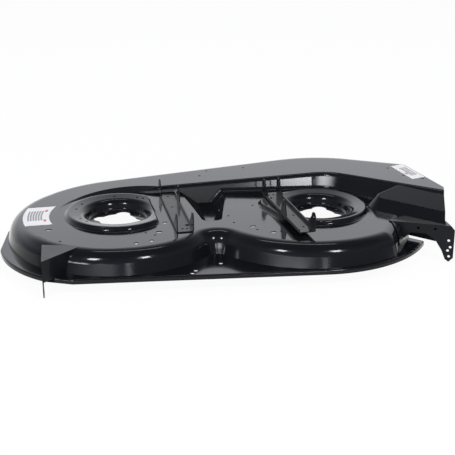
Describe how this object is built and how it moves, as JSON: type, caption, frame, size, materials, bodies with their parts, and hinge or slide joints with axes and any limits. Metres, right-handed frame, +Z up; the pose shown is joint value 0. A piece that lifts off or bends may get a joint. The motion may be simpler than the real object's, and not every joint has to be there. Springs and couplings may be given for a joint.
{
  "type": "lawn mower deck shell",
  "caption": "Stamped twin-blade lawn mower deck shell with side discharge, spindle dishes, raised tunnel roof and welded brackets.",
  "frame": {"origin": "middle of the box around the part, at its lowest level", "axes": "+X to the mower's right, where it discharges; +Y to its front; +Z up, square to the rim"},
  "size_m": [1.1818, 0.6745, 0.161],
  "materials": {
    "black_paint": "gloss"
  },
  "bodies": {
    "root": {"deck_shell": "black_paint", "left_suspension_bracket": "black_paint", "right_suspension_bracket": "black_paint", "wheel_bracket": "black_paint", "discharge_bracket": "black_paint"}
  },
  "joints": []
}
